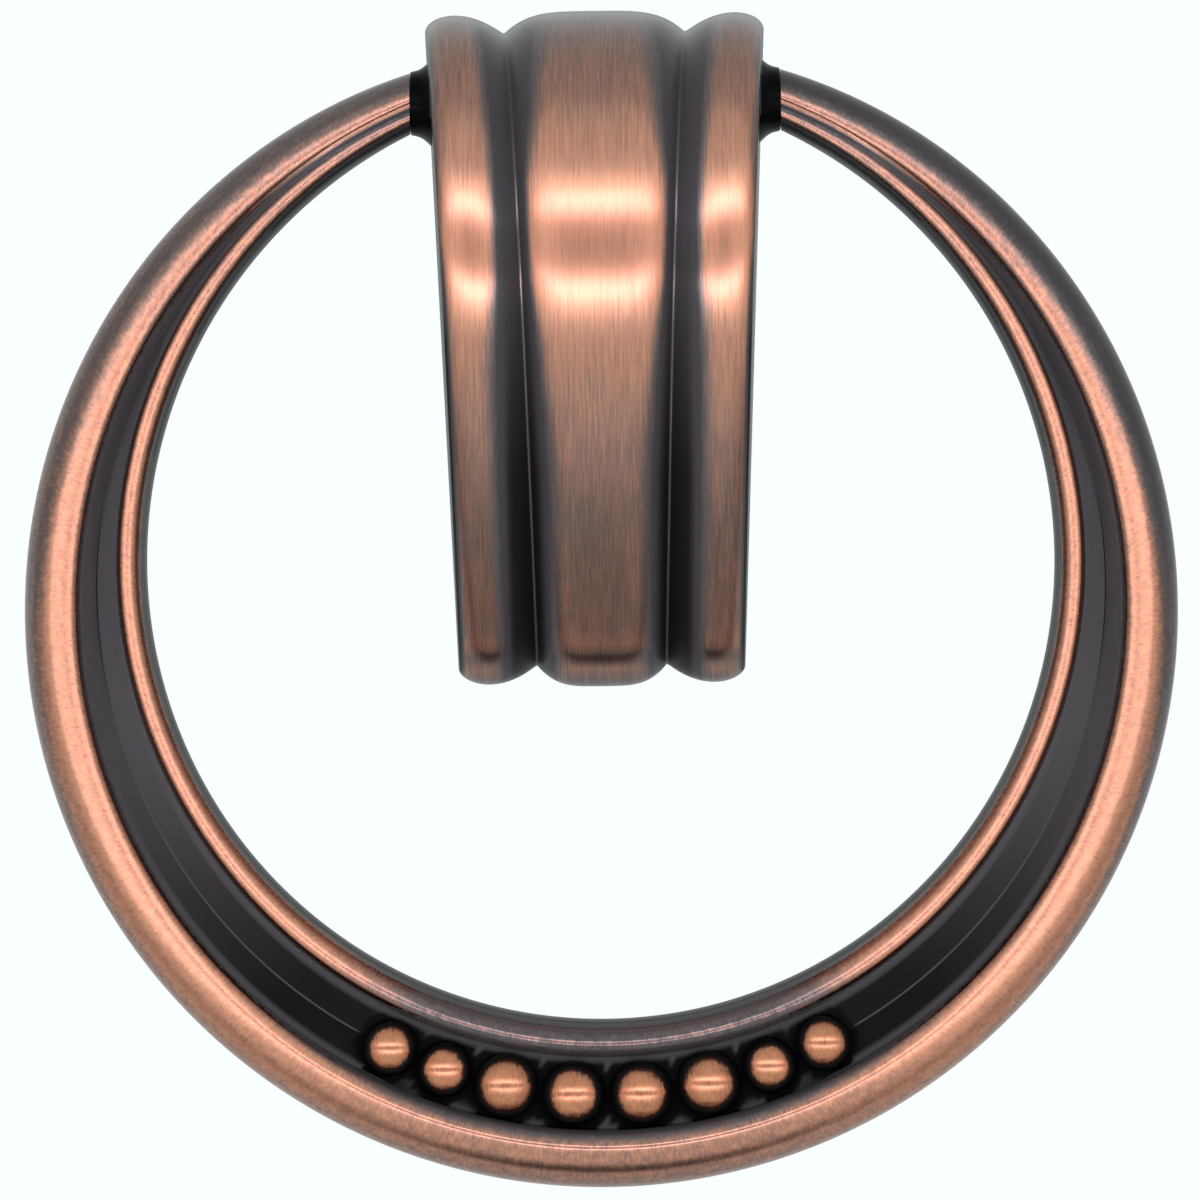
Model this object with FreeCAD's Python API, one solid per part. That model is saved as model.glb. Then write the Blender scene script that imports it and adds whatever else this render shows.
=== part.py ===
import FreeCAD, Part
import math
import os

from FreeCAD import Vector

# Ring pull handle for a drawer or cabinet door: a cast mount with three upright ribs,
# and a cast ring that swings on two pins of its own, one in each side of the mount.
# Millimetres. X is across the handle, Z is up, and the front faces -Y.
# The back of the mount lies in the plane Y = 0, and the origin is the centre of its screw hole.

# Mount, seen from the front
mount_height = 31.9
screw_below_top = 16.0
half_width_top = 8.05
half_width_bottom = 6.75
side_draft_deg = 1.2

# Mount, seen from the side: a brow, a long slope down and a rounded foot
mount_projection = 14.0
brow_below_top = 11.1
foot_depth = 4.6
foot_round = 1.6
foot_slope_deg = 36.0

# The three ribs
side_rib_width = 3.7
valley_depth = 1.0
side_rib_drop = 0.14
side_rib_edge = 1.4
side_rib_round = 0.8

# Back of the mount: a cored pocket with a tapped boss, its two stays and a pad at each pin hole
wall = 1.6
boss_radius = 3.6
thread_radius = 1.75
thread_depth = 8.5
stay_thickness = 1.6
stay_setback = 1.2
pad_radius = 2.2
pad_floor = 1.0
core_steps = 3

# Pivot
pivot_height = 11.5
pivot_depth = 6.6
pin_radius = 0.9
pin_clearance = 0.05
pin_reach = 2.4
pin_end_room = 0.3
pin_chamfer = 0.2
collar_root_radius = 2.0
collar_tip_radius = 1.5
collar_length = 0.8
side_play = 0.15

# Ring, seen from the front: a round outline, and a band that narrows from the bottom to both ends
ring_radius = 27.0
ring_end_drop = 0.3
band_bottom = 7.9
band_end = 2.7

# Ring section at the bottom and at its ends, as heights in front of and behind the pin axis
outer_crest_bottom = 2.25
outer_crest_end = 1.4
inner_crest_bottom = 1.9
inner_crest_end = 1.4
back_bottom = 1.6
back_end = 1.4
back_chamfer_bottom = 1.3
back_chamfer_end = 0.85

# Rims and groove: the rims keep their width almost to the ends, where the groove has run out
outer_rim_width = 2.4
outer_crest_in = 1.7
inner_rim_width = 1.45
inner_crest_in = 0.95
outer_rim_end_share = 0.46
outer_crest_end_share = 0.40
inner_rim_end_share = 0.30
inner_crest_end_share = 0.24
groove_line_share = 0.47
groove_line_height = 0.65
outer_floor_rise = 0.55
inner_floor_rise = 0.35
groove_end_share = 0.96

# Beads along the groove, from the middle of the row to its end
large_bead_radius = 1.54
small_bead_radius = 1.32
large_beads_each_side = 2
small_beads_each_side = 2
bead_gap = 0.1
large_bead_proud = 0.08
small_bead_proud = -0.08

# Stock behind the mount's back, faced off flat
back_spare = 1.0

# How finely the curved forms are stepped
ring_stations = 33
rib_stations = 4

mount_top = screw_below_top
brow_height = mount_top - brow_below_top
side_taper = (half_width_top - half_width_bottom) / mount_height
side_draft = math.tan(math.radians(side_draft_deg))
foot_slope = math.tan(math.radians(foot_slope_deg))


def side_x(y, z):
    """Half the mount's width at a depth and height: its sides taper downwards and draft forwards."""
    return half_width_top - side_taper * (mount_top - z) + side_draft * y


# Where the pins sit, worked out from the mount's side
collar_face = side_x(-pivot_depth, pivot_height) + collar_length
ring_end_x = collar_face + side_play
pin_tip_x = collar_face - pin_reach
bore_end_x = pin_tip_x - pin_end_room
pivot = Vector(0, -pivot_depth, pivot_height)

# Where the ring hangs, so that the middles of its two ends lie on the pin axis
end_middle_radius = ring_radius - ring_end_drop - band_end / 2
ring_drop = math.sqrt(end_middle_radius ** 2 - ring_end_x ** 2)
ring_centre_z = pivot_height - ring_drop
end_angle = math.pi - math.atan2(ring_end_x, ring_drop)


def mix(low, high, share):
    return low + (high - low) * share


def bezier(*poles):
    curve = Part.BezierCurve()
    curve.setPoles(list(poles))
    return curve.toShape()


def side_curves(inset, x_share, x_inset):
    """Poles of the brow, slope and foot, drawn in by inset, on the slanted plane at a share of the width."""
    depth = mount_projection - inset
    up = brow_below_top - inset
    down = mount_height - brow_below_top - inset
    foot = foot_depth - inset

    def pole(y, z):
        return Vector(x_share * (side_x(y, brow_height + z) - x_inset), y, brow_height + z)

    brow = pole(-depth, 0)
    heel = pole(-foot, foot_round - down)
    handle = 0.42 * down
    above_heel = pole(-foot - handle * foot_slope, foot_round - down + handle)
    corner_y = foot_slope * foot_round - foot
    corner = pole(corner_y, -down)
    toe = pole(0.55 * corner_y, -down)
    crown = pole(0, up)
    return [
        [crown, pole(-0.56 * depth, up), pole(-depth, 0.8 * up), brow],
        [brow, pole(-depth, -0.33 * down), above_heel, heel],
        [heel, mix(heel, corner, 0.6), mix(toe, corner, 0.6), toe],
    ]


def behind(point, x_share, x_inset):
    """The point level with another, in the stock behind the mount's back."""
    return Vector(x_share * (side_x(back_spare, point.z) - x_inset), back_spare, point.z)


def side_profile(inset, x_share, x_inset):
    """The mount's side outline as smooth curves, closed behind its back."""
    curves = side_curves(inset, x_share, x_inset)
    upper = behind(curves[0][0], x_share, x_inset)
    lower = behind(curves[-1][-1], x_share, x_inset)
    edges = [bezier(*poles) for poles in curves]
    return Part.Wire([Part.makeLine(upper, curves[0][0])] + edges
                     + [Part.makeLine(curves[-1][-1], lower), Part.makeLine(lower, upper)])


def core_profile(inset, x_share, x_inset):
    """The same outline as the flats of a simple core: each curve becomes a few chords."""
    curves = side_curves(inset, x_share, x_inset)
    points = [behind(curves[0][0], x_share, x_inset)]
    for poles in curves:
        curve = Part.BezierCurve()
        curve.setPoles(poles)
        points += [curve.value(i / core_steps) for i in range(core_steps)]
    points += [curves[-1][-1], behind(curves[-1][-1], x_share, x_inset)]
    return Part.makePolygon(points + [points[0]])


def middle_rib():
    """The wide rib: a crown that falls ever faster towards its two valleys."""
    wires = []
    for i in range(2 * rib_stations + 1):
        share = math.sin(math.pi / 2 * (i - rib_stations) / rib_stations)
        wires.append(side_profile(valley_depth * share ** 4, share, side_rib_width))
    return Part.makeLoft(wires, True, True)


def side_rib():
    """The right-hand rib, from its valley over its crest to the rounded edge of the mount's side."""
    wires = []
    flank = side_rib_width - side_rib_edge
    for i in range(rib_stations):
        share = 1 - i / rib_stations
        inset = mix(side_rib_drop, valley_depth, share ** 2)
        wires.append(side_profile(inset, 1, side_rib_edge + flank * share))
    for i in range(rib_stations + 1):
        turn = math.pi / 2 * i / rib_stations
        inset = side_rib_drop + side_rib_round * (1 - math.cos(turn))
        wires.append(side_profile(inset, 1, side_rib_edge * (1 - math.sin(turn))))
    return Part.makeLoft(wires, True, True)


def collar():
    """The right-hand collar round the pin hole, wider where it meets the mount's side."""
    widening = (collar_root_radius - collar_tip_radius) / collar_length
    sunk = 0.5 * wall
    root = Vector(collar_face - collar_length - sunk, -pivot_depth, pivot_height)
    return Part.makeCone(collar_root_radius + sunk * widening, collar_tip_radius, collar_length + sunk,
                         root, Vector(1, 0, 0))


def pin_hole():
    start = Vector(bore_end_x, -pivot_depth, pivot_height)
    length = collar_face - bore_end_x + 1
    return Part.makeCylinder(pin_radius + pin_clearance, length, start, Vector(1, 0, 0))


def screw_hole():
    return Part.makeCylinder(thread_radius, thread_depth, Vector(0, 0, 0), Vector(0, -1, 0))


def pocket():
    """The cored pocket, less the tapped boss, its stays and the pads behind the pin holes."""
    inset = wall + valley_depth
    cored = Part.makeLoft([core_profile(inset, -1, wall), core_profile(inset, 1, wall)], True, True)
    reach = mount_projection
    boss = Part.makeCylinder(boss_radius, reach, Vector(0, 0, 0), Vector(0, -1, 0))
    corner = Vector(-half_width_top, -reach, -stay_thickness / 2)
    stays = Part.makeBox(2 * half_width_top, reach - stay_setback, stay_thickness, corner)
    kept = [boss, stays]
    for side in (-1, 1):
        inner_x = bore_end_x - pad_floor
        low_x = inner_x if side > 0 else -half_width_top
        low = Vector(low_x, -reach, pivot_height - pad_radius)
        depth = reach - pivot_depth + pad_radius
        kept.append(Part.makeBox(half_width_top - inner_x, depth, mount_top - low.z, low))
    return cored.cut(kept)


def mount():
    right = side_rib().fuse(collar())
    left = right.mirror(Vector(0, 0, 0), Vector(1, 0, 0))
    body = middle_rib().fuse([right, left])
    hole = pin_hole()
    stock = Part.makeBox(4 * half_width_top, 2 * back_spare, 2 * mount_height,
                         Vector(-2 * half_width_top, 0, mount_top - 1.5 * mount_height))
    body = body.cut([stock, pocket(), screw_hole(), hole, hole.mirror(Vector(0, 0, 0), Vector(1, 0, 0))])
    return body.Solids[0]


def front_widths(share):
    """The band's outer radius and width, and the widths of its outer and inner rim."""
    hold = 1 - share ** 6
    radius = ring_radius - ring_end_drop * share ** 8
    band = mix(band_end, band_bottom, math.cos(math.pi / 2 * share))
    rim_out = mix(outer_rim_end_share * band_end, outer_rim_width, hold)
    rim_in = mix(inner_rim_end_share * band_end, inner_rim_width, hold)
    return radius, band, rim_out, rim_in


def ring_section(along):
    """The ring's section, in consistent edges: 0 is its lowest point, -1 and 1 are its upright ends."""
    share = abs(along)
    radius, band, rim_out, rim_in = front_widths(share)
    fall = math.cos(math.pi / 2 * share)
    hold = 1 - share ** 6
    deep = (1 - min(1, share / groove_end_share) ** 8) ** 1.5
    crest_out = mix(outer_crest_end, outer_crest_bottom, fall)
    crest_in = mix(inner_crest_end, inner_crest_bottom, fall)
    back = mix(back_end, back_bottom, fall)
    chamfer = mix(back_chamfer_end, back_chamfer_bottom, fall)
    top_out = mix(outer_crest_end_share * band_end, outer_crest_in, hold)
    top_in = mix(inner_crest_end_share * band_end, inner_crest_in, hold)
    line_in = mix(rim_out, band - rim_in, groove_line_share)
    lowest = mix(0.95 * crest_in, groove_line_height, deep)
    waist = chamfer - back

    def at(inward, forward):
        reach = radius - inward
        angle = along * (math.pi - math.asin(ring_end_x / reach))
        z = ring_centre_z - reach * math.cos(angle)
        return Vector(reach * math.sin(angle), -pivot_depth - forward, z)

    outer_rise = outer_floor_rise * deep
    inner_rise = inner_floor_rise * deep
    outer_edge = at(0, waist)
    outer_crest = at(top_out, crest_out)
    outer_foot = at(rim_out, lowest + outer_rise)
    groove_line = at(line_in, lowest)
    inner_foot = at(band - rim_in, lowest + inner_rise)
    inner_crest = at(band - top_in, crest_in)
    inner_edge = at(band, waist)
    inner_back = at(band - chamfer, -back)
    outer_back = at(chamfer, -back)
    outer_run = 0.5 * (rim_out - top_out)
    inner_run = 0.5 * (rim_in - top_in)
    above_outer_foot = outer_rise * (1 + outer_run / (line_in - rim_out))
    above_inner_foot = inner_rise * (1 + inner_run / (band - rim_in - line_in))
    return Part.Wire([
        bezier(outer_edge, at(0, mix(waist, crest_out, 0.55)), at(0.45 * top_out, crest_out), outer_crest),
        bezier(outer_crest, at(top_out + outer_run, crest_out),
               at(rim_out - outer_run, lowest + above_outer_foot), outer_foot),
        Part.makeLine(outer_foot, groove_line),
        Part.makeLine(groove_line, inner_foot),
        bezier(inner_foot, at(band - rim_in + inner_run, lowest + above_inner_foot),
               at(band - top_in - inner_run, crest_in), inner_crest),
        bezier(inner_crest, at(band - 0.45 * top_in, crest_in),
               at(band, mix(waist, crest_in, 0.55)), inner_edge),
        Part.makeLine(inner_edge, inner_back),
        Part.makeLine(inner_back, outer_back),
        Part.makeLine(outer_back, outer_edge),
    ])


def groove_radius(angle):
    """How far the groove's lowest line is from the ring's centre."""
    radius, band, rim_out, rim_in = front_widths(abs(angle) / end_angle)
    return radius - mix(rim_out, band - rim_in, groove_line_share)


def bead(angle, radius, proud):
    reach = groove_radius(angle)
    y = -pivot_depth - outer_crest_bottom + radius - proud
    centre = Vector(reach * math.sin(angle), y, ring_centre_z - reach * math.cos(angle))
    return Part.makeSphere(radius, centre, Vector(0, -1, 0))


def beads():
    """The row of beads, stepped out from the middle so that neighbours just miss each other."""
    row = []
    angle = 0
    last_radius = 0
    sizes = [(large_bead_radius, large_bead_proud)] * large_beads_each_side
    sizes += [(small_bead_radius, small_bead_proud)] * small_beads_each_side
    for radius, proud in sizes:
        pitch = last_radius + radius + bead_gap if row else radius + bead_gap / 2
        angle += 2 * math.asin(pitch / 2 / groove_radius(angle))
        last_radius = radius
        row += [bead(angle, radius, proud), bead(-angle, radius, proud)]
    return row


def pin():
    root_x = ring_end_x + 0.5 * band_end
    shank = Part.makeCylinder(pin_radius, root_x - pin_tip_x - pin_chamfer,
                              Vector(pin_tip_x + pin_chamfer, -pivot_depth, pivot_height), Vector(1, 0, 0))
    nose = Part.makeCone(pin_radius - pin_chamfer, pin_radius, pin_chamfer,
                         Vector(pin_tip_x, -pivot_depth, pivot_height), Vector(1, 0, 0))
    return shank.fuse(nose)


def ring():
    wires = [ring_section(mix(-1, 1, i / (ring_stations - 1))) for i in range(ring_stations)]
    hoop = Part.makeLoft(wires, True, True)
    right = pin()
    left = right.mirror(Vector(0, 0, 0), Vector(1, 0, 0))
    return hoop.fuse([right, left] + beads()).Solids[0]


def main():
    os.makedirs("parts", exist_ok=True)
    for name, shape in (("mount", mount()), ("ring", ring())):
        print(name, shape.ShapeType, shape.isValid(), len(shape.Faces), round(shape.Volume, 1))
        print(name, shape.BoundBox, shape.CenterOfMass)
        shape.exportStep("parts/" + name + ".step")


main()
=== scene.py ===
import math

import bmesh
import bpy
from mathutils import Matrix, Vector


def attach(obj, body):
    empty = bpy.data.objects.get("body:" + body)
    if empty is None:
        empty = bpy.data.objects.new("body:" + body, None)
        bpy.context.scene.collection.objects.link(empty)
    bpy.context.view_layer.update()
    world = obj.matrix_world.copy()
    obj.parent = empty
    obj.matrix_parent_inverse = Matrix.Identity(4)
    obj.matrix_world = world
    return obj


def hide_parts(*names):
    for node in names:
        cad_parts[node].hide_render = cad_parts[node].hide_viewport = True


# Ring pull handle: dresses the frame's mount and ring with a brushed copper finish over black patina.
# Sizes in the dictionaries are millimetres and degrees; everything made here is in metres.
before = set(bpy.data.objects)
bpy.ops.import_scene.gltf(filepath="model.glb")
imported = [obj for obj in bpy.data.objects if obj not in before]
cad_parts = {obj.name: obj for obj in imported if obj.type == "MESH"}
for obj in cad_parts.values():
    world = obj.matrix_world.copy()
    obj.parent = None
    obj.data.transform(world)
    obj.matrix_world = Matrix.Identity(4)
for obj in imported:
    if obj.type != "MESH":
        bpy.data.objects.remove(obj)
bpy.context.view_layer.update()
mm = 0.001
cornerPull = 0.6  # how far towards a corner the handles of its rounding reach
print("frame loaded")


def mix(low, high, share):
    return low + (high - low) * share


def ease(low, high, value):
    share = min(1.0, max(0.0, (value - low) / (high - low)))
    return share * share * (3 - 2 * share)


def bezierPoint(a, b, c, d, t):
    s = 1 - t
    return tuple(s * s * s * p + 3 * s * s * t * q + 3 * s * t * t * r + t * t * t * w
                 for p, q, r, w in zip(a, b, c, d))


def pointBetween(a, b, share):
    return tuple(mix(p, q, share) for p, q in zip(a, b))


def runningLengths(points):
    lengths = [0.0]
    for a, b in zip(points, points[1:]):
        lengths.append(lengths[-1] + math.dist(a, b))
    return lengths


def meshObject(name, bm, sharpAngle=35.0):
    mesh = bpy.data.meshes.new(name)
    bm.to_mesh(mesh)
    bm.free()
    mesh.shade_smooth()
    mesh.set_sharp_from_angle(angle=math.radians(sharpAngle))
    made = bpy.data.objects.new(name, mesh)
    bpy.context.scene.collection.objects.link(made)
    return made


# cuts a tool from a piece, or joins it on, for good, and throws the tool away: what it leaves is black
def carve(target, tool, operation="DIFFERENCE"):
    wear = tool.data.attributes.get("wear") or tool.data.attributes.new("wear", "FLOAT", "POINT")
    wear.data.foreach_set("value", [-1.0] * len(wear.data))
    step = target.modifiers.new("carve", "BOOLEAN")
    step.operation = operation
    step.solver = "EXACT"
    step.object = tool
    with bpy.context.temp_override(object=target, active_object=target, selected_objects=[target]):
        bpy.ops.object.modifier_apply(modifier=step.name)
    bpy.data.objects.remove(tool, do_unlink=True)


# a solid turned from (along, radius) points about an axis through start
def lathe(name, points, start, axis, steps=72):
    axis = Vector(axis)
    side = axis.orthogonal().normalized()
    bm = bmesh.new()
    verts = [bm.verts.new((Vector(start) + axis * along + side * radius) * mm) for along, radius in points]
    edges = [bm.edges.new(pair) for pair in zip(verts, verts[1:])]
    bmesh.ops.spin(bm, geom=verts + edges, cent=Vector(start) * mm, axis=axis, dvec=(0, 0, 0),
                   angle=math.tau, steps=steps, use_merge=True)
    bmesh.ops.remove_doubles(bm, verts=bm.verts, dist=1e-7)
    bmesh.ops.recalc_face_normals(bm, faces=bm.faces)
    return meshObject(name, bm)


def block(name, low, high):
    middle = Vector(pointBetween(low, high, 0.5))
    size = Vector(high) - Vector(low)
    bm = bmesh.new()
    bmesh.ops.create_cube(bm, size=1, matrix=Matrix.LocRotScale(middle * mm, None, size * mm))
    return meshObject(name, bm)


# the mount's outside, seen from the front and from the side
mountShape = {
    "height": 31.9, "top": 16.0, "halfTop": 8.05, "halfBottom": 6.75, "draft": 1.2,
    "projection": 14.0, "browBelowTop": 11.1, "footDepth": 4.6, "footRound": 1.6, "footSlope": 36.0,
    "sideRib": 3.7, "valley": 1.0, "sideDrop": 0.14, "sideEdge": 1.4, "sideRound": 0.8,
    "crownReach": 0.56, "crownDrop": 0.8, "browReach": 0.3, "slopeReach": 0.42, "toeShare": 0.55,
    "valleyFillet": 0.05, "outlineSteps": (44, 64, 22), "middleSteps": 34, "flankSteps": 24, "edgeSteps": 12,
}
# where the pins sit in it
pivotShape = {
    "height": 11.5, "depth": 6.6, "pinRadius": 0.9, "clearance": 0.05, "reach": 2.4, "endRoom": 0.3,
    "pinChamfer": 0.2, "collarRoot": 2.0, "collarTip": 1.5, "collarLength": 0.925, "collarHollow": 0.12,
    "sidePlay": 0.025, "shoulder": 1.28, "pinRoot": 0.8,
}
# how far the copper is rubbed bare, by height where it varies: 1 bare, 0 patina, below 0 soot; the valley glint,
# the dip at the heel and the dark lower outer edges are painted light
mountWear = {
    "middleEnd": 0.97, "edge": (0.0, 0.35), "valleyLineInset": 0.98,
    # on the lower outer edges this is painted shade that turns the copper to soot; the upper edges stay rubbed
    "edgeWearAndShade": ((-15.9, -0.5), (0.0, -0.4), (5.0, 0.5), (16.0, 0.5)),
    # painted glint: a pale metallic line along each valley's bottom, standing in for the lamps' reflection there
    "valleyGlint": ((-15.9, 0.1), (-13.0, 0.2), (-8.0, 0.3), (5.0, 0.33), (8.0, 0.3), (12.0, 0.1),
                   (16.0, -0.1)),
    "middleStart": ((-15.9, 0.55), (-6.0, 0.5), (-1.0, 0.62), (3.0, 0.78), (7.5, 0.78), (11.0, 0.55),
                    (16.0, 0.4)),
    "flankStart": ((-15.9, 1.5), (-6.0, 1.5), (-1.0, 1.4), (3.0, 1.9), (8.0, 2.1), (16.0, 1.8)),
    "flankEnd": ((-15.9, 2.7), (-6.0, 2.9), (-1.0, 3.1), (16.0, 3.1)),
    # the dip to 0.4 at -14.5 is painted shade: a dark band across the heel, standing in for a dark reflection there
    "heights": ((-15.9, 0.3), (-15.1, 0.5), (-14.5, 0.4), (-13.9, 0.6), (-13.1, 0.5), (-8.0, 0.46),
                (-5.0, 0.5), (-2.4, 0.56), (1.0, 0.64), (3.0, 0.8), (6.0, 0.86), (8.0, 0.66), (11.0, 0.56),
                (13.7, 0.47), (15.0, 0.4), (16.0, 0.25)),
    "soot": ((-15.9, 0.6), (-6.0, 0.6), (0.0, 0.4), (6.0, 0.2), (16.0, 0.1)),
}


def sideX(y, z):
    m = mountShape
    taper = (m["halfTop"] - m["halfBottom"]) / m["height"]
    return m["halfTop"] - taper * (m["top"] - z) + math.tan(math.radians(m["draft"])) * y


collarFace = sideX(-pivotShape["depth"], pivotShape["height"]) + pivotShape["collarLength"]
ringEndX = collarFace + pivotShape["sidePlay"]
pinTipX = collarFace - pivotShape["reach"]
boreEndX = pinTipX - pivotShape["endRoom"]
pivotPoint = (0, -pivotShape["depth"], pivotShape["height"])


# depth and height points seen from the side: crown, brow, slope, foot, and back along the flat back
def sideOutline(inset, steps):
    m = mountShape
    slope = math.tan(math.radians(m["footSlope"]))
    brow = m["top"] - m["browBelowTop"]
    depth, up = m["projection"] - inset, m["browBelowTop"] - inset
    down, foot = m["height"] - m["browBelowTop"] - inset, m["footDepth"] - inset
    handle = m["slopeReach"] * down
    heel = (-foot, m["footRound"] - down)
    corner = (slope * m["footRound"] - foot, -down)
    toe = (m["toeShare"] * corner[0], -down)
    curves = [
        ((0, up), (-m["crownReach"] * depth, up), (-depth, m["crownDrop"] * up), (-depth, 0), steps[0]),
        ((-depth, 0), (-depth, -m["browReach"] * down), (-foot - handle * slope, heel[1] + handle), heel, steps[1]),
        (heel, pointBetween(heel, corner, cornerPull), pointBetween(toe, corner, cornerPull), toe, steps[2]),
    ]
    points = []
    for a, b, c, d, count in curves:
        points += [bezierPoint(a, b, c, d, i / count) for i in range(count)]
    points += [toe, (0, -down)]
    return [(y, brow + z) for y, z in points]


def filletedInset(inset, crest):
    m = mountShape
    rise, full = m["valley"] - inset, m["valley"] - crest
    round_ = m["valleyFillet"]
    return m["valley"] - (math.hypot(rise, round_) - round_) * full / (math.hypot(full, round_) - round_)


def atHeight(steps, z):
    for (low, lowValue), (high, highValue) in zip(steps, steps[1:]):
        if z <= high:
            return mix(lowValue, highValue, (z - low) / (high - low))
    return steps[-1][1]


# a rib's wear at a height, darker towards its valleys, with painted shade on its outer edge low down: below zero
# the patina turns to soot
def wearOnMount(station, z):
    w = mountWear
    inset, share, fromSide = station
    if fromSide < 0.001:
        return 0.0  # plain patina on the side faces
    # painted glint: a thin pale metallic line along each valley's bottom, standing in for the lamps' reflection
    if inset > w["valleyLineInset"]:
        return atHeight(w["valleyGlint"], z)  # a thin pale line along each valley
    if share < 1:
        worn = 1 - ease(atHeight(w["middleStart"], z), w["middleEnd"], share)
    else:
        worn = 1 - ease(atHeight(w["flankStart"], z), atHeight(w["flankEnd"], z), fromSide)
        # painted shade: the outer edges are darkened low down
        worn *= mix(atHeight(w["edgeWearAndShade"], z), 1, ease(*w["edge"], fromSide))
    return worn * atHeight(w["heights"], z) - (1 - worn) ** 3 * atHeight(w["soot"], z)


# stations across the mount: (inset of the outline, share of the half width, distance from the side)
def ribStations():
    m = mountShape
    half = []
    for i in range(m["middleSteps"] + 1):
        share = 1 - (1 - i / m["middleSteps"]) ** 1.6
        half.append((filletedInset(m["valley"] * share ** 4, 0), share, m["sideRib"]))
    flank = m["sideRib"] - m["sideEdge"]
    for i in range(1, m["flankSteps"] + 1):
        share = 1 - (i / m["flankSteps"]) ** 1.4
        inset = mix(m["sideDrop"], m["valley"], share ** 2)
        half.append((filletedInset(inset, m["sideDrop"]), 1, m["sideEdge"] + flank * share))
    for i in range(1, m["edgeSteps"] + 1):
        turn = math.pi / 2 * i / m["edgeSteps"]
        inset = m["sideDrop"] + m["sideRound"] * (1 - math.cos(turn))
        half.append((inset, 1, m["sideEdge"] * (1 - math.sin(turn))))
    left = [(station, -1) for station in reversed(half[1:])]
    return left + [(station, 1) for station in half]


def mountPoint(station, hand, outline, row):
    y, z = outline[row]
    return Vector((hand * station[1] * (sideX(y, z) - station[2]), y, z)) * mm


# one side outline, extruded across the ribs station by station
def ribbedShell():
    stations = ribStations()
    bm = bmesh.new()
    wearLayer = bm.verts.layers.float.new("wear")
    rowLayer = bm.verts.layers.int.new("row")
    crestOutline = sideOutline(0, mountShape["outlineSteps"])
    strokeLengths = runningLengths(crestOutline + crestOutline[:1])
    rows = len(crestOutline)

    def placeVerts(verts, station, hand):
        outline = sideOutline(station[0], mountShape["outlineSteps"])
        for vert in verts:
            vert.co = mountPoint(station, hand, outline, vert[rowLayer])
            vert[wearLayer] = wearOnMount(station, outline[vert[rowLayer]][1])

    verts = [bm.verts.new((0, 0, row)) for row in range(rows)]
    for row, vert in enumerate(verts):
        vert[rowLayer] = row
    placeVerts(verts, *stations[0])
    edges = [bm.edges.new(pair) for pair in zip(verts, verts[1:] + verts[:1])]
    for station, hand in stations[1:]:
        grown = bmesh.ops.extrude_edge_only(bm, edges=edges)["geom"]
        fresh = {item for item in grown if isinstance(item, bmesh.types.BMVert)}
        placeVerts(fresh, station, hand)
        edges = [item for item in grown
                 if isinstance(item, bmesh.types.BMEdge) and fresh.issuperset(item.verts)]
    stroke = bm.loops.layers.uv.new("stroke")
    for face in bm.faces:
        wraps = {0, rows - 1} <= {loop.vert[rowLayer] for loop in face.loops}
        for loop in face.loops:
            row = rows if wraps and loop.vert[rowLayer] == 0 else loop.vert[rowLayer]
            loop[stroke].uv = (loop.vert.co.x / mm, strokeLengths[row])
    bmesh.ops.holes_fill(bm, edges=[e for e in bm.edges if e.is_boundary], sides=0)
    bmesh.ops.recalc_face_normals(bm, faces=bm.faces)
    return meshObject("ribbedMount", bm)


# behind the mount: a cored pocket, less the tapped boss, its stays and the pads behind the pin holes
backShape = {"wall": 1.6, "bossRadius": 3.6, "threadRadius": 1.75, "threadDepth": 8.5, "drillPoint": 0.9,
             "stay": 1.6, "staySetback": 1.2, "padRadius": 2.2, "padFloor": 1.0, "coreSteps": (3, 3, 3)}


def pocketTool():
    b, m, p = backShape, mountShape, pivotShape
    outline = sideOutline(b["wall"] + m["valley"], b["coreSteps"])
    outline = [(1.0, outline[0][1])] + outline[:-1] + [(1.0, outline[-1][1])]
    bm = bmesh.new()
    face = bm.faces.new([bm.verts.new(Vector((b["wall"] - sideX(y, z), y, z)) * mm) for y, z in outline])
    for item in bmesh.ops.extrude_face_region(bm, geom=[face])["geom"]:
        if isinstance(item, bmesh.types.BMVert):
            item.co.x = -item.co.x
    bmesh.ops.recalc_face_normals(bm, faces=bm.faces)
    tool = meshObject("pocketTool", bm)
    far, wide = m["projection"], m["halfTop"] + 1
    carve(tool, lathe("boss", [(-2, 0), (-2, b["bossRadius"]), (far, b["bossRadius"]), (far, 0)],
                      (0, 0, 0), (0, -1, 0)))
    carve(tool, block("stays", (-wide, -far, -b["stay"] / 2), (wide, -b["staySetback"], b["stay"] / 2)))
    for hand in (-1, 1):
        near, outer = sorted((hand * (boreEndX - b["padFloor"]), hand * wide))
        carve(tool, block("pad", (near, -far, p["height"] - b["padRadius"]),
                          (outer, b["padRadius"] - p["depth"], m["top"] + 1)))
    return tool


def collarTool(hand):
    p = pivotShape
    root = collarFace - p["collarLength"]
    sweep = [(mix(root - 0.05, collarFace - 0.1, s), mix(p["collarRoot"] + 0.03, p["collarTip"], s)
              - p["collarHollow"] * math.sin(math.pi * s)) for s in (i / 10 for i in range(11))]
    lip = [(collarFace - 0.03, p["collarTip"] - 0.03), (collarFace, p["collarTip"] - 0.1), (collarFace, 0)]
    stem = [(root - 0.6, 0), (root - 0.6, p["collarRoot"])]
    return lathe("collar", stem + sweep + lip, pivotPoint, (hand, 0, 0))


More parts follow.
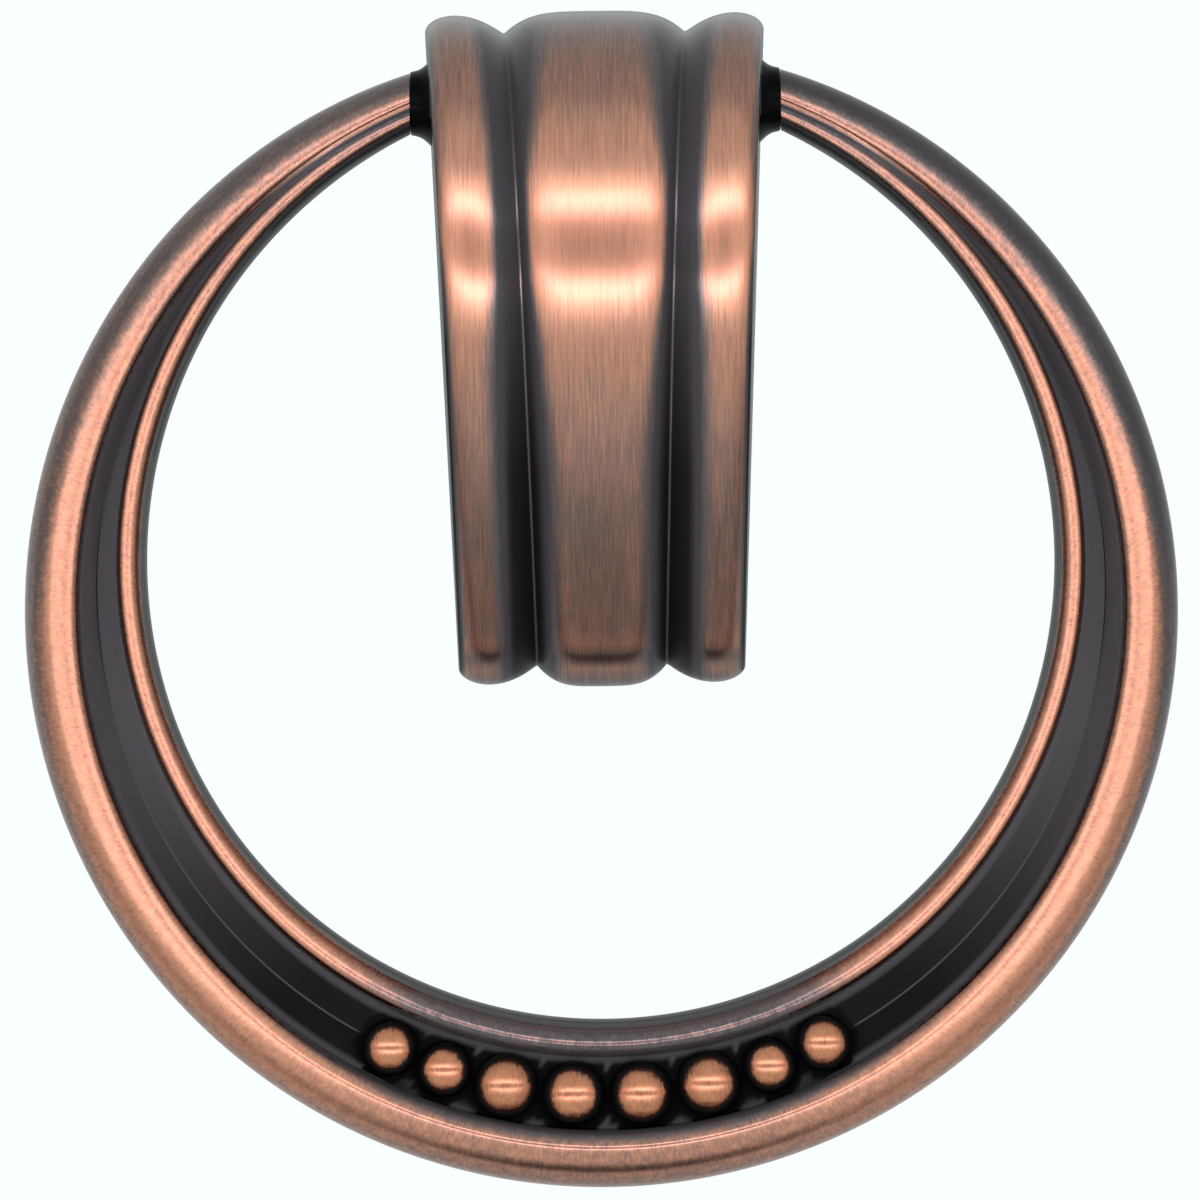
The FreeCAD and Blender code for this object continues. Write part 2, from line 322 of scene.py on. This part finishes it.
def makeMount():
    b, p = backShape, pivotShape
    piece = ribbedShell()
    for hand in (-1, 1):
        carve(piece, collarTool(hand), "UNION")
    carve(piece, pocketTool())
    hole = [(-1, 0), (-1, b["threadRadius"]), (b["threadDepth"], b["threadRadius"]),
            (b["threadDepth"] + b["drillPoint"], 0)]
    carve(piece, lathe("tapHole", hole, (0, 0, 0), (0, -1, 0)))
    bore = p["pinRadius"] + p["clearance"]
    for hand in (-1, 1):
        hole = [(boreEndX, 0), (boreEndX, bore), (collarFace + 1, bore), (collarFace + 1, 0)]
        carve(piece, lathe("pinHole", hole, pivotPoint, (hand, 0, 0)))
    piece.data.set_sharp_from_angle(angle=math.radians(35))
    for vert, rubbed in zip(piece.data.vertices, piece.data.attributes["wear"].data):
        x, y, z = vert.co / mm
        proud = abs(x) - sideX(y, z)
        if proud > -0.02:
            rubbed.value = -1 if proud > 0.02 else 0  # black collars, plain patina on the side faces
    return piece


mountPiece = makeMount()
print("mount", len(mountPiece.data.polygons), "faces")

# ring: pairs are the size at its two ends and at its lowest point
ringShape = {
    "radius": 27.0, "endDrop": 0.3, "band": (2.7, 7.9),
    "outerCrest": (1.4, 2.25), "innerCrest": (1.4, 1.9), "back": (1.4, 1.6), "backChamfer": (0.85, 1.3),
    "outerRim": (0.52, 2.75), "outerTop": (0.46, 2.0), "innerRim": (0.32, 1.45), "innerTop": (0.24, 0.95),
    "innerBroad": 0.18, "ridge": 0.12, "fillet": 0.1, "lineShare": 0.44, "lineHeight": 0.65,
    "outerRise": 0.55, "innerRise": 0.35, "grooveEnd": 0.96, "edgeRound": 0.2, "stations": 420,
}
# how the rims are rubbed, as distances from the rim's own edge or foot
ringWear = {
    "outerFull": (0.58, 0.76), "outerEdge": (0.7, 1.15), "outerEdgeWear": (0.18, 0.85),
    "outerFade": ((-0.8, 0.1), (-0.55, 0.35)), "innerFull": 0.7, "innerFade": (-0.25, 0.25),
    "innerEdge": ((0.14, 0.5), (0.28, 0.6)), "innerBottom": 0.38, "innerGrows": (0.13, 0.27), "endFade": 0.2,
    "back": 0.4, "beadShadeFade": (1.18, 1.36), "crestLine": 0.5, "lineGlintAndShade": (0.45, 0.6),
    "tarnishLeft": (0.05, 0.6, 0.5), "tarnishRight": (0.12, 0.67, 1.0),
    "floor": ((0.0, 0.2), (0.12, 0.25), (0.16, 0.75), (0.25, 0.75), (0.35, 0.55), (0.5, 0.15), (1.0, 0.4)),
}
groovePath = (0, 0.25, 0.5, 0.72, 0.86, 0.93, 0.965, 0.985)
endMiddle = ringShape["radius"] - ringShape["endDrop"] - ringShape["band"][0] / 2
ringDrop = math.sqrt(endMiddle ** 2 - ringEndX ** 2)
ringCentreZ = pivotShape["height"] - ringDrop
ringEndAngle = math.pi - math.atan2(ringEndX, ringDrop)


# the band's laws at a share of the way from the bottom (0) to an end (1)
def bandAt(share):
    r = ringShape
    fall = math.cos(math.pi / 2 * share)
    hold = {"outer": 1 - share ** 4, "inner": 1 - share ** 6}
    deep = max(0.0, 1 - min(1.0, share / r["grooveEnd"]) ** 8) ** 1.5
    tapered = ("band", "outerCrest", "innerCrest", "back", "backChamfer")
    sizes = {name: mix(*r[name], fall) for name in tapered}
    for name in ("outerRim", "outerTop", "innerRim", "innerTop"):
        sizes[name] = mix(r[name][0] * r["band"][0], r[name][1], hold[name[:5]])
    sizes["line"] = mix(sizes["outerRim"], sizes["band"] - sizes["innerRim"], r["lineShare"])
    broad = 1 + r["innerBroad"] * (1 - ease(0.15, 0.45, share))
    sizes["innerRim"] *= broad
    sizes["innerTop"] *= broad
    sizes["ridge"] = r["ridge"] * (1 - ease(0.12, 0.4, share))
    sizes["lowest"] = mix(0.95 * sizes["innerCrest"], r["lineHeight"], deep)
    sizes["deep"] = deep
    return sizes


def softCorner(before, corner, after, radius):
    a = pointBetween(corner, before, radius / math.dist(corner, before))
    b = pointBetween(corner, after, radius / math.dist(corner, after))
    c, d = pointBetween(a, corner, cornerPull), pointBetween(b, corner, cornerPull)
    return [bezierPoint(a, c, d, b, i / 4) for i in range(5)]


# points along the section: the outer side, each groove wall, the fillet at its foot, and the inner side
outerSteps, wallSteps, filletSteps, innerSteps = 16, 14, 4, 14


# (inward, forward) points once round the section: over the outer rim, the groove and the inner rim,
# then round the flat back
def ringSection(share):
    r, s = ringShape, bandAt(share)
    band, deep, line, lowest = s["band"], s["deep"], s["line"], s["lowest"]
    back, chamfer = s["back"], s["backChamfer"]
    waist = chamfer - back
    outerFoot = (s["outerRim"], lowest + r["outerRise"] * deep)
    innerFoot = (band - s["innerRim"], lowest + r["innerRise"] * deep)
    outerCrest, innerCrest = (s["outerTop"], s["outerCrest"]), (band - s["innerTop"], s["innerCrest"])
    outerEdge, innerEdge = (0, waist), (band, waist)
    outerBack, innerBack = (chamfer, -back), (band - chamfer, -back)
    bottomLine = (line, lowest)
    points = []

    def curve(a, b, c, d, count):
        points.extend(bezierPoint(a, b, c, d, i / count) for i in range(count))

    # a rim stays broad from its crest, then drops to a small fillet at its foot
    def groovePoints(crest, foot, ridge):
        width, drop = foot[0] - crest[0], crest[1] - foot[1]
        wallEnd = (foot[0], foot[1] + 0.12 * drop)
        floorStart = pointBetween(foot, bottomLine, min(0.3, r["fillet"] / math.dist(foot, bottomLine)))
        shoulder = (crest[0] + 0.7 * width, crest[1] - 2 * ridge)
        knee = (crest[0] + 0.95 * width, foot[1] + 0.55 * drop)
        wall = [bezierPoint(crest, shoulder, knee, wallEnd, i / wallSteps) for i in range(wallSteps)]
        fillet = [bezierPoint(wallEnd, pointBetween(wallEnd, foot, cornerPull),
                              pointBetween(floorStart, foot, cornerPull), floorStart, i / filletSteps)
                  for i in range(filletSteps)]
        return wall + fillet + [pointBetween(floorStart, bottomLine, step) for step in groovePath]

    curve(outerEdge, (0, mix(waist, outerCrest[1], 0.55)), (0.45 * outerCrest[0], outerCrest[1] - s["ridge"]),
          outerCrest, outerSteps)
    points.extend(groovePoints(outerCrest, outerFoot, s["ridge"]))
    points.append(bottomLine)
    points.extend(groovePoints(innerCrest, innerFoot, 0)[:0:-1])
    curve(innerCrest, (band - 0.45 * s["innerTop"], innerCrest[1]), (band, mix(waist, innerCrest[1], 0.55)),
          innerEdge, innerSteps)
    points.extend(softCorner(points[-1], innerEdge, innerBack, r["edgeRound"]))
    points.extend(softCorner(innerEdge, innerBack, outerBack, r["edgeRound"]))
    points.extend(softCorner(innerBack, outerBack, outerEdge, r["edgeRound"]))
    points.extend(softCorner(outerBack, outerEdge, points[1], r["edgeRound"])[:-1])
    return points[1:]


# rows of the section that the wear asks for, counted from the outer edge
grooveCount = wallSteps + filletSteps + len(groovePath)
frontCount = outerSteps - 1 + 2 * grooveCount + innerSteps
lineRow = outerSteps - 1 + grooveCount
crestRow = frontCount - innerSteps
edgeRow = frontCount - 8


def ringWearAt(share, hand, row, inward):
    w, s = ringWear, bandAt(share)
    band = s["band"]
    if row >= frontCount:
        return w["back"]
    low, high = w["outerEdgeWear"]
    start, end, most = w["tarnishRight"] if hand > 0 else w["tarnishLeft"]
    tarnish = most * ease(start, end, share)  # darker towards the ends, and more at the right
    reach = mix(w["outerEdge"][0], w["outerEdge"][1] * s["outerTop"], ease(0.25, 0.8, share) ** 2)
    outer = mix(mix(high, low, tarnish), 1, ease(0.35 * reach, reach, inward))
    fade = pointBetween(*w["outerFade"], ease(0.1, 0.3, share))
    outer *= 1 - ease(s["outerRim"] + fade[0], s["outerRim"] + fade[1], inward) * s["deep"]
    outer *= mix(*w["outerFull"], ease(0.05, 0.3, share))
    inner = ease(w["innerFade"][0], w["innerFade"][1], inward - (band - s["innerRim"]))
    # painted shade: the copper fades out near the inner edge, which is then painted black, standing in for the
    # shade on the inner wall
    black = pointBetween(*w["innerEdge"], ease(0.6, 0.95, share))
    inner *= 1 - ease(-black[1], -black[0], inward - band)
    grown = ease(*w["innerGrows"], share)
    inner *= mix(w["innerBottom"], 1, grown) * w["innerFull"]
    if row == crestRow:
        inner = max(inner, w["crestLine"] * (1 - grown))  # a bare line along the crest behind the beads
    onOuter = 1 - ease(s["line"] - 0.1, s["line"] + 0.1, inward)
    return mix(inner, outer, onOuter) * (1 - w["endFade"] * ease(0.65, 1, share))


# how sooty the floor is; the line along it is painted paler low down as a painted glint and darker high up as a
# painted shadow, and the inner edge wall is painted black as shade
def sootAndShadeOnRing(share, row):
    # painted light along the V line: a paler glint low down, a black shadow high up
    if abs(row - lineRow) < 2:
        return ease(*ringWear["lineGlintAndShade"], share)
    # beyond edgeRow the inner edge wall is painted black as shade
    return atHeight(ringWear["floor"], share) if row < edgeRow else 1.0


# the ends are flat and upright, so each line along the ring stretches to reach x = ringEndX
def ringPoint(share, hand, inward, forward):
    r = ringShape
    reach = r["radius"] - r["endDrop"] * share ** 8 - inward
    angle = hand * share * (math.pi - math.asin(ringEndX / reach))
    return Vector((reach * math.sin(angle), -pivotShape["depth"] - forward,
                   ringCentreZ - reach * math.cos(angle))) * mm


# beads from the middle of the row outwards: radius and how far each stands proud of the outer crest
beadShape = {"row": ((1.54, 0.08), (1.54, 0.08), (1.32, -0.08), (1.32, -0.08)), "gap": 0.1,
             "capFade": (0.54, 1.3), "capVary": (0, -0.03, 0.04, -0.02, 0, 0.02, -0.04, 0.01),
             "capWide": 0.93, "capTall": 1.0}


# each bead's centre and radius, from left to right
def beadPlaces():
    places = []
    angle, last = 0.0, None
    for radius, proud in beadShape["row"]:
        reach = ringShape["radius"] - bandAt(angle / ringEndAngle)["line"]
        pitch = radius + beadShape["gap"] / 2 if last is None else last + radius + beadShape["gap"]
        angle += 2 * math.asin(pitch / 2 / reach)
        last = radius
        reach = ringShape["radius"] - bandAt(angle / ringEndAngle)["line"]
        y = radius - proud - pivotShape["depth"] - ringShape["outerCrest"][1]
        for hand in (-1, 1):
            x, z = hand * reach * math.sin(angle), ringCentreZ - reach * math.cos(angle)
            places.append((Vector((x, y, z)) * mm, radius * mm))
    return sorted(places, key=lambda place: place[0].x)


# painted shade: a black ring round each bead, standing in for the beads' shadow and dark reflection in the glossy
# floor
def beadShadeAt(point):
    beadShade = 0.0
    for centre, radius in beadSpots:
        away = math.hypot(point.x - centre.x, point.z - centre.z) / radius
        beadShade = max(beadShade, 1 - ease(*ringWear["beadShadeFade"], away))
    return beadShade


beadSpots = beadPlaces()


# a section spun round the ring's centre, where every station then takes its own widths and heights
def makeRing():
    r = ringShape
    half = r["stations"] // 2
    bottom = ringSection(0)
    rows = len(bottom)
    strokeLengths = runningLengths(bottom + bottom[:1])
    centre = Vector((0, -pivotShape["depth"], ringCentreZ)) * mm
    bm = bmesh.new()
    wearLayer = bm.verts.layers.float.new("wear")
    rowLayer = bm.verts.layers.int.new("row")
    stepLayer = bm.verts.layers.int.new("step")
    verts = []
    for row, (inward, forward) in enumerate(bottom):
        start = centre + Vector((-(r["radius"] - inward), -forward, 0)) * mm
        verts.append(bm.verts.new(start))
        verts[-1][rowLayer] = row
    edges = [bm.edges.new(pair) for pair in zip(verts, verts[1:] + verts[:1])]
    bmesh.ops.spin(bm, geom=verts + edges, cent=centre, axis=(0, -1, 0), dvec=(0, 0, 0),
                   angle=math.pi, steps=2 * half, use_merge=False)
    sections = [ringSection(step / half) for step in range(half + 1)]
    for vert in bm.verts:
        angle = math.atan2(vert.co.x - centre.x, centre.z - vert.co.z)
        step = round(angle / (math.pi / 2) * half)
        share = abs(step) / half
        inward, forward = sections[abs(step)][vert[rowLayer]]
        vert[stepLayer] = step
        hand = 1 if step > 0 else -1
        vert.co = ringPoint(share, hand, inward, forward)
        worn = ringWearAt(share, hand, vert[rowLayer], inward)
        # a vert with little wear takes the darkest of the soot, the painted shade on the line and inner edge, and
        # the painted shade round the beads
        vert[wearLayer] = worn if worn > 0.02 else -max(sootAndShadeOnRing(share, vert[rowLayer]), beadShadeAt(vert.co))
    stroke = bm.loops.layers.uv.new("stroke")
    along = ringEndAngle * (r["radius"] - r["band"][1] / 2) / half
    for face in bm.faces:
        wraps = {0, rows - 1} <= {loop.vert[rowLayer] for loop in face.loops}
        for loop in face.loops:
            row = rows if wraps and loop.vert[rowLayer] == 0 else loop.vert[rowLayer]
            loop[stroke].uv = (loop.vert[stepLayer] * along, strokeLengths[row])
    ends = bmesh.ops.holes_fill(bm, edges=[e for e in bm.edges if e.is_boundary], sides=0)["faces"]
    bmesh.ops.inset_region(bm, faces=ends, thickness=0.15 * mm, depth=0.0)
    bmesh.ops.recalc_face_normals(bm, faces=bm.faces)
    return meshObject("grooveRing", bm)


ringPiece = makeRing()
print("ring", len(ringPiece.data.polygons), "faces")


def makeBead(name, centre, radius, vary):
    bm = bmesh.new()
    wearLayer = bm.verts.layers.float.new("wear")
    stroke = bm.loops.layers.uv.new("stroke")
    place = Matrix.Translation(centre) @ Matrix.Rotation(math.pi / 2, 4, "X")
    bmesh.ops.create_uvsphere(bm, u_segments=64, v_segments=48, radius=radius, matrix=place)
    low, high = (edge + vary for edge in beadShape["capFade"])
    for vert in bm.verts:
        away = (vert.co - centre) / radius
        fromTop = math.hypot(away.x / beadShape["capWide"], away.z / beadShape["capTall"])
        vert[wearLayer] = 1 - 3 * ease(low, high, fromTop) if away.y < 0 else -1
    for face in bm.faces:
        for loop in face.loops:
            loop[stroke].uv = (loop.vert.co.x / mm, loop.vert.co.z / mm)
    return meshObject(name, bm)


def makePin(name, hand):
    p = pivotShape
    neck, root = collarFace + 0.01, ringEndX + 0.05
    points = [(pinTipX, 0), (pinTipX, p["pinRadius"] - p["pinChamfer"]),
              (pinTipX + p["pinChamfer"], p["pinRadius"]), (neck, p["pinRadius"]),
              (neck, p["shoulder"]), (root, p["shoulder"]), (root, p["pinRadius"]),
              (ringEndX + p["pinRoot"], p["pinRadius"]), (ringEndX + p["pinRoot"], 0)]
    return lathe(name, points, pivotPoint, (hand, 0, 0))


beadPieces = [makeBead("bead%d" % (number + 1), *spot, beadShape["capVary"][number])
              for number, spot in enumerate(beadSpots)]
pinPieces = [makePin("pinLeft", -1), makePin("pinRight", 1)]
print("beads and pins", len(beadPieces) + len(pinPieces))


def link(tree, value, socket):
    if isinstance(value, bpy.types.NodeSocket):
        tree.links.new(value, socket)
    else:
        socket.default_value = value


def calc(tree, operation, *values):
    made = tree.nodes.new("ShaderNodeMath")
    made.operation = operation
    for slot, value in enumerate(values):
        link(tree, value, made.inputs[slot])
    return made.outputs[0]


def remap(tree, value, low, high, toLow=0.0, toHigh=1.0):
    made = tree.nodes.new("ShaderNodeMapRange")
    made.interpolation_type = "SMOOTHSTEP"
    for slot, item in enumerate((value, low, high, toLow, toHigh)):
        link(tree, item, made.inputs[slot])
    return made.outputs[0]


def blend(tree, share, a, b):
    made = tree.nodes.new("ShaderNodeMix")
    made.data_type = "RGBA"
    for slot, value in ((0, share), (6, a), (7, b)):
        link(tree, value, made.inputs[slot])
    return made.outputs[2]


def noise(tree, vector, scale, detail=3.0, rough=0.6):
    moved = tree.nodes.new("ShaderNodeMapping")
    link(tree, vector, moved.inputs["Vector"])
    moved.inputs["Scale"].default_value = scale
    made = tree.nodes.new("ShaderNodeTexNoise")
    link(tree, moved.outputs[0], made.inputs["Vector"])
    made.inputs["Scale"].default_value = 1.0
    made.inputs["Detail"].default_value = detail
    made.inputs["Roughness"].default_value = rough
    return made.outputs["Fac"]


# pairs are the range over which each thing sets in; noise scales count along and across the strokes, per mm
finish = {
    "streakShare": 0.4, "cloudShare": 0.2, "hairShare": 0.4, "rubbed": (0.02, 0.2), "tone": (0.34, 0.62),
    "toneHair": 0.55, "toneStreak": 0.45, "sootSpan": (-0.9, -0.05), "metalSpan": (0.0, 0.35),
    "copperSpan": (0.2, 0.95), "sootMetal": 0.8, "hairRough": 0.06, "bumpDepth": 0.00002,
    "soot": (0.002, 0.002, 0.002, 1), "satin": 0.25, "lacquer": 0.18,
    "sooty": 0.2, "brushed": 0.85, "bump": 0.25, "coatRoughness": 0.25, "specular": 0.25,
    "mount": {"bright": (0.86, 0.39, 0.24, 1), "dull": (0.70, 0.31, 0.20, 1), "coat": 0.4, "ragged": 0.7,
              "film": (0.20, 0.162, 0.158, 1), "patina": (0.050, 0.046, 0.049, 1),
              "streak": (9.0, 0.28, 1), "hair": (24.0, 0.6, 1), "cloud": (0.5, 0.16, 1)},
    "ring": {"bright": (0.86, 0.39, 0.24, 1), "dull": (0.70, 0.31, 0.20, 1), "coat": 0.4, "ragged": 0.8,
             "film": (0.20, 0.162, 0.158, 1), "patina": (0.050, 0.046, 0.049, 1),
             "streak": (2.2, 2.6, 1), "hair": (9.0, 2.5, 1), "cloud": (0.35, 0.9, 1)},
    "bead": {"bright": (0.72, 0.31, 0.17, 1), "dull": (0.54, 0.22, 0.125, 1), "coat": 0.1, "ragged": 2.4,
             "film": (0.09, 0.05, 0.04, 1), "patina": (0.008, 0.006, 0.006, 1),
             "streak": (1.6, 1.4, 1), "hair": (9.0, 3.0, 1), "cloud": (0.9, 0.9, 1)},
}


# brushed copper where wear is high, black patina where it is low, ragged along the strokes between them
def copperFinish(name, kind):
    look = finish[kind]
    mat = bpy.data.materials.new(name)
    mat.use_nodes = True
    tree = mat.node_tree
    shader = tree.nodes["Principled BSDF"]
    where = tree.nodes.new("ShaderNodeUVMap")
    where.uv_map = "stroke"
    tangent = tree.nodes.new("ShaderNodeTangent")
    tangent.direction_type = "UV_MAP"
    tangent.uv_map = "stroke"
    tree.links.new(tangent.outputs[0], shader.inputs["Tangent"])
    shader.inputs["Anisotropic"].default_value = finish["brushed"]
    shader.inputs["Coat Roughness"].default_value = finish["coatRoughness"]
    wear = tree.nodes.new("ShaderNodeAttribute")
    wear.attribute_name = "wear"
    worn = wear.outputs["Fac"]
    streak = noise(tree, where.outputs[0], look["streak"])
    hair = noise(tree, where.outputs[0], look["hair"], 2.0)
    cloud = noise(tree, where.outputs[0], look["cloud"])
    ragged = calc(tree, "ADD", calc(tree, "MULTIPLY", streak, finish["streakShare"]),
                  calc(tree, "MULTIPLY", cloud, finish["cloudShare"]))
    ragged = calc(tree, "ADD", ragged, calc(tree, "MULTIPLY", hair, finish["hairShare"]))
    ragged = calc(tree, "MULTIPLY", calc(tree, "SUBTRACT", ragged, 0.5), look["ragged"])
    rubbed = remap(tree, worn, *finish["rubbed"])  # no bare specks where nothing is rubbed
    level = calc(tree, "ADD", worn, calc(tree, "MULTIPLY", ragged, rubbed))
    bare = remap(tree, level, 0.0, 1.0)
    tone = calc(tree, "ADD", calc(tree, "MULTIPLY", hair, finish["toneHair"]),
                calc(tree, "MULTIPLY", streak, finish["toneStreak"]))
    copper = blend(tree, remap(tree, tone, *finish["tone"]), look["dull"], look["bright"])
    soot = remap(tree, worn, *finish["sootSpan"], 1.0, 0.0)
    black = blend(tree, soot, look["patina"], finish["soot"])
    metal = remap(tree, bare, *finish["metalSpan"])  # thin patina greys the copper before it blackens it
    thin = blend(tree, remap(tree, bare, *finish["copperSpan"]), look["film"], copper)
    tree.links.new(blend(tree, metal, black, thin), shader.inputs["Base Color"])
    sootMetal = calc(tree, "MULTIPLY", soot, finish["sootMetal"])
    tree.links.new(calc(tree, "MAXIMUM", metal, sootMetal), shader.inputs["Metallic"])
    shader.inputs["Specular IOR Level"].default_value = finish["specular"]
    tree.links.new(calc(tree, "MULTIPLY", bare, look["coat"]), shader.inputs["Coat Weight"])
    rough = calc(tree, "ADD", remap(tree, bare, 0.0, 0.5, finish["lacquer"], finish["satin"]),
                 calc(tree, "MULTIPLY", soot, finish["sooty"]))
    rough = calc(tree, "ADD", rough, calc(tree, "MULTIPLY", hair, finish["hairRough"]))
    tree.links.new(rough, shader.inputs["Roughness"])
    bump = tree.nodes.new("ShaderNodeBump")
    bump.inputs["Strength"].default_value = finish["bump"]
    bump.inputs["Distance"].default_value = finish["bumpDepth"]
    tree.links.new(hair, bump.inputs["Height"])
    tree.links.new(bump.outputs[0], shader.inputs["Normal"])
    return mat


def blackFinish(name):
    mat = bpy.data.materials.new(name)
    mat.use_nodes = True
    shader = mat.node_tree.nodes["Principled BSDF"]
    shader.inputs["Base Color"].default_value = finish["ring"]["patina"]
    shader.inputs["Roughness"].default_value = finish["lacquer"]
    return mat


def dress(pieces, body, mat):
    for piece in pieces:
        piece.data.materials.clear()
        piece.data.materials.append(mat)
        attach(piece, body)


dress([mountPiece], "mount", copperFinish("brushedCopperMount", "mount"))
dress([ringPiece], "ring", copperFinish("brushedCopperRing", "ring"))
dress(beadPieces, "ring", copperFinish("rubbedCopperBeads", "bead"))
dress(pinPieces, "ring", blackFinish("blackPins"))
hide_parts("mount")
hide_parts("ring")
print("finishes done")

# white surround, two wide lamps above and below the lens, a pale floor behind and below
studio = {
    "cameraRoll": 0.7, "cameraDistance": 600, "cameraZ": -11.83, "cameraX": -0.06, "frameWidth": 56.15,
    "lampDistance": 1500, "lampTilt": 13.6, "lampWidth": 3600, "lampHeight": 190, "lampRadiance": 2.7,
    "lampColor": (0.9, 0.79, 0.95),
    "floorZ": -120, "floorFront": 20, "floorSize": 700,
    "white": (0.955, 1.0, 1.0, 1), "floorColor": (0.82, 0.84, 0.84, 1),
}


def makeCamera():
    s = studio
    data = bpy.data.cameras.new("camera")
    camera = bpy.data.objects.new("camera", data)
    bpy.context.scene.collection.objects.link(camera)
    camera.location = Vector((s["cameraX"], -pivotShape["depth"] - s["cameraDistance"], s["cameraZ"])) * mm
    camera.rotation_euler = (math.pi / 2, math.radians(s["cameraRoll"]), 0)
    data.sensor_width = 36
    data.lens = 36 * s["cameraDistance"] / s["frameWidth"]
    data.clip_start = 0.01
    bpy.context.scene.camera = camera


def makeLamp(name, tilt):
    s = studio
    width, height = s["lampWidth"] * mm, s["lampHeight"] * mm
    data = bpy.data.lights.new(name, "AREA")
    data.shape = "RECTANGLE"
    data.size, data.size_y = width, height
    data.energy = s["lampRadiance"] * math.pi * width * height
    data.color = s["lampColor"]
    lamp = bpy.data.objects.new(name, data)
    bpy.context.scene.collection.objects.link(lamp)
    turn = math.radians(tilt)
    toLamp = Vector((0, -math.cos(turn), math.sin(turn)))
    lamp.location = Vector((0, 0, s["cameraZ"] * mm)) + toLamp * s["lampDistance"] * mm
    lamp.rotation_euler = (math.pi / 2 - turn, 0, 0)


# how bright the surround is along a direction: from, to, and the brightness at each
surround = {
    "ahead": (-0.6, -0.1, 0.78, 0.45), "lens": (-0.99, -0.965, 0.4, 1.0), "below": (-0.99, -0.89, 0.05, 1.0),
    "behind": (0.05, 0.5, 0.0, 0.6), "rear": (0.975, 0.993, 1.0, 0.2), "low": (-0.85, -0.6, 1.0, 0.0),
    "under": (-0.08, 0.12, 0.0, 0.55), "above": (0.4, 0.8, 0.0, 0.56), "spillIn": (0.2, 0.25),
    "spillOut": (0.27, 0.5, 0.9, 0.0), "spillAhead": (-0.8, -0.5, 1.0, 0.0),
}


# what metal sees around it: grey, darker round the lens, at the sides and below,
# with light spilt past the lamps
def makeWorld():
    world = bpy.data.worlds.new("studio")
    bpy.context.scene.world = world
    world.use_nodes = True
    tree = world.node_tree
    parts = tree.nodes.new("ShaderNodeSeparateXYZ")
    tree.links.new(tree.nodes.new("ShaderNodeTexCoord").outputs["Generated"], parts.inputs[0])
    y, z = parts.outputs["Y"], parts.outputs["Z"]
    apart = calc(tree, "ABSOLUTE", z)

    def along(axis, name):
        return remap(tree, axis, *surround[name])

    lower = calc(tree, "MULTIPLY", calc(tree, "MULTIPLY", along(y, "ahead"), along(y, "lens")), along(z, "below"))
    behind = calc(tree, "MULTIPLY", along(y, "behind"), along(y, "rear"))
    under = calc(tree, "MULTIPLY", along(z, "low"), along(y, "under"))
    behind = calc(tree, "MAXIMUM", behind, under)
    level = calc(tree, "MAXIMUM", calc(tree, "MAXIMUM", behind, lower), along(z, "above"))
    spill = calc(tree, "MULTIPLY", along(apart, "spillIn"), along(apart, "spillOut"))
    level = calc(tree, "ADD", level, calc(tree, "MULTIPLY", spill, along(y, "spillAhead")))
    rays = tree.nodes.new("ShaderNodeLightPath")
    seen = calc(tree, "MAXIMUM", rays.outputs["Is Camera Ray"], rays.outputs["Is Transmission Ray"])
    background = tree.nodes["Background"]
    background.inputs["Color"].default_value = studio["white"]
    tree.links.new(calc(tree, "MAXIMUM", seen, level), background.inputs["Strength"])


def makeFloor():
    s = studio
    bm = bmesh.new()
    middle = Vector((0, s["floorFront"] + s["floorSize"] / 2, s["floorZ"])) * mm
    bmesh.ops.create_grid(bm, x_segments=1, y_segments=1, size=s["floorSize"] / 2 * mm,
                          matrix=Matrix.Translation(middle))
    floor = meshObject("floor", bm)
    mat = bpy.data.materials.new("paleFloor")
    mat.use_nodes = True
    shader = mat.node_tree.nodes["Principled BSDF"]
    shader.inputs["Base Color"].default_value = s["floorColor"]
    shader.inputs["Roughness"].default_value = 0.6
    floor.data.materials.append(mat)


makeCamera()
makeLamp("lampAbove", studio["lampTilt"])
makeLamp("lampBelow", -studio["lampTilt"])
makeWorld()
makeFloor()
bpy.context.scene.view_settings.view_transform = "Standard"
print("studio done")
